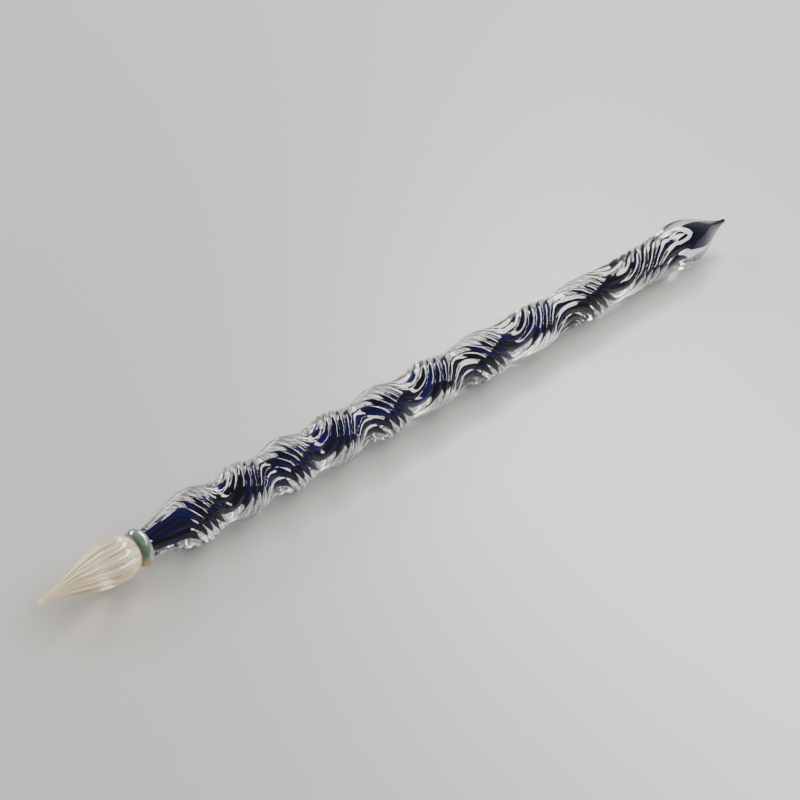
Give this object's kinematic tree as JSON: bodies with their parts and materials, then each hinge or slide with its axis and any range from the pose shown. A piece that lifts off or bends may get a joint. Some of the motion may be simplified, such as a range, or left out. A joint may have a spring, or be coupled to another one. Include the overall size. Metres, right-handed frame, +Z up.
{
  "type": "glass dip pen",
  "caption": "Hand-made glass dip pen: fluted clear nib, collar ring, clear handle with ribs twisted to and fro over a navy core, pointed finial.",
  "frame": {"origin": "under the middle of the pen's length, on the plane that the pen lies on", "axes": "+X along the pen from the nib to the finial, +Z up, away from the plane that the pen lies on"},
  "size_m": [0.19, 0.0108, 0.0108],
  "materials": {
    "nib_glass": "polished clear glass with a faint warm tint, fluted",
    "collar_glass": "polished grey-green glass, partly see-through",
    "clear_glass": "fire-polished clear glass, ribbed and twisted",
    "navy_glass": "dense navy glass, seen through the clear layer"
  },
  "bodies": {
    "root": {"nib": "nib_glass", "collar_ring": "collar_glass", "handle_casing": "clear_glass", "handle_core": "navy_glass", "finial_casing": "clear_glass", "finial_core": "navy_glass"}
  },
  "joints": []
}
